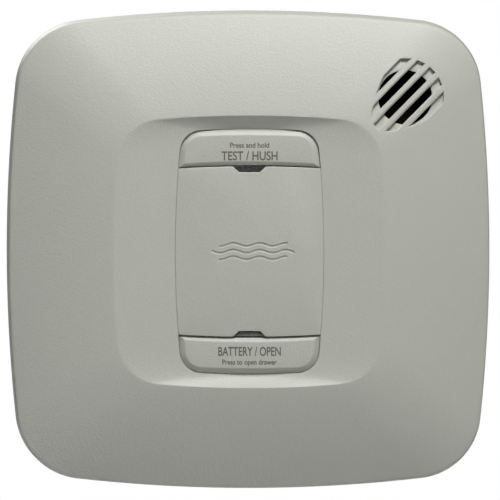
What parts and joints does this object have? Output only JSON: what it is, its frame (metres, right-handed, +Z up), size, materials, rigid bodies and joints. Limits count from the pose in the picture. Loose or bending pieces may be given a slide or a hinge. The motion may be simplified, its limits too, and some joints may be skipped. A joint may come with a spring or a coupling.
{
  "type": "carbon monoxide detector",
  "caption": "Square wall-mounted carbon monoxide alarm with a domed cover, recessed centre, battery drawer between two push buttons, and a round slotted horn grille.",
  "frame": {"origin": "centre of the mounting plate's back face, on the wall", "axes": "+Z up, +Y into the wall, so the front faces -Y; +X to the right as seen from the front"},
  "size_m": [0.1524, 0.044, 0.1506],
  "materials": {
    "cover_plastic": "fine spark-eroded satin, light warm grey",
    "housing_plastic": "fine spark-eroded satin, light warm grey",
    "inner_plastic": "plain moulded, off-white",
    "black_plastic": "plain moulded black",
    "battery_jacket": "shrink-wrapped jacket, plain with a copper-coloured band",
    "plated_steel": "bright zinc or nickel plate",
    "spring_steel": "drawn wire and blanked strip",
    "board_laminate": "green solder mask with faint tracks",
    "switch_plastic": "plain moulded yellow",
    "yellow_plastic": "potted box, plain yellow",
    "capacitor_sleeve": "shrunk sleeve with a pale stripe",
    "varistor_coating": "dipped epoxy, blue",
    "red_lamp": "clear red epoxy dome",
    "green_lamp": "clear green epoxy dome",
    "smoked_lens": "smoked window, polished",
    "horn_brass": "brass sounder disc with a pale ceramic centre",
    "contact_brass": "turned brass pin"
  },
  "bodies": {
    "mounting_plate": {"mounting_plate": "housing_plastic"},
    "alarm": {"rear_housing": "housing_plastic", "front_cover": "cover_plastic", "inner_frame": "inner_plastic", "battery_contact_positive": "spring_steel", "battery_contact_negative": "spring_steel", "test_button_spring_left": "spring_steel", "test_button_spring_right": "spring_steel", "eject_button_spring_left": "spring_steel", "eject_button_spring_right": "spring_steel", "latch_spring": "spring_steel", "ejector_spring": "spring_steel", "circuit_board": "board_laminate", "test_switch": "black_plastic", "co_sensor": "plated_steel", "microcontroller": "black_plastic", "filter_capacitor": "yellow_plastic", "storage_capacitor": "capacitor_sleeve", "varistor": "varistor_coating", "alarm_lamp": "red_lamp", "power_lamp": "green_lamp", "alarm_lens": "smoked_lens", "power_lens": "smoked_lens", "horn_baffle": "cover_plastic", "horn_housing": "black_plastic", "piezo_disc": "horn_brass", "inlet_housing": "black_plastic", "inlet_pin_1": "contact_brass", "inlet_pin_2": "contact_brass", "inlet_pin_3": "contact_brass", "cover_screw_1": "plated_steel", "cover_screw_2": "plated_steel", "cover_screw_3": "plated_steel", "cover_screw_4": "plated_steel", "board_screw_1": "plated_steel", "board_screw_2": "plated_steel", "board_screw_3": "plated_steel", "board_screw_4": "plated_steel"},
    "test_button": {"test_button": "cover_plastic"},
    "switch_plunger": {"switch_plunger": "switch_plastic"},
    "eject_button": {"eject_button": "cover_plastic"},
    "latch_slide": {"latch_slide": "inner_plastic"},
    "battery_drawer": {"battery_door": "cover_plastic", "battery_tray": "inner_plastic", "battery": "battery_jacket", "battery_terminal_positive": "plated_steel", "battery_terminal_negative": "plated_steel"}
  },
  "joints": [
    {"name": "twist_lock", "type": "hinge", "parent": "mounting_plate", "child": "alarm", "pos_m": [0, 0, 0], "axis": [0, -1, 0], "range_deg": [0, 15]},
    {"name": "test_press", "type": "slide", "parent": "alarm", "child": "test_button", "axis": [0, 1, 0], "range_m": [0, 0.0015], "stiffness_N_per_m": 800, "springref_m": -0.001, "deforming": ["test_button_spring_left", "test_button_spring_right"]},
    {"name": "switch_press", "type": "slide", "parent": "alarm", "child": "switch_plunger", "axis": [0, 1, 0], "range_m": [0, 0.00025]},
    {"name": "eject_press", "type": "slide", "parent": "alarm", "child": "eject_button", "axis": [0, 1, 0], "range_m": [0, 0.002], "stiffness_N_per_m": 800, "springref_m": -0.001, "deforming": ["eject_button_spring_left", "eject_button_spring_right"]},
    {"name": "latch_release", "type": "slide", "parent": "alarm", "child": "latch_slide", "axis": [0, 0, -1], "range_m": [0, 0.002], "deforming": ["latch_spring"]},
    {"name": "drawer_slide", "type": "slide", "parent": "alarm", "child": "battery_drawer", "axis": [0, -1, 0], "range_m": [0, 0.026], "deforming": ["ejector_spring"]}
  ],
  "couplings": [
    {"joint": "switch_press", "follows": "test_press", "ratio": 0.1666},
    {"joint": "latch_release", "follows": "eject_press", "ratio": 1}
  ]
}
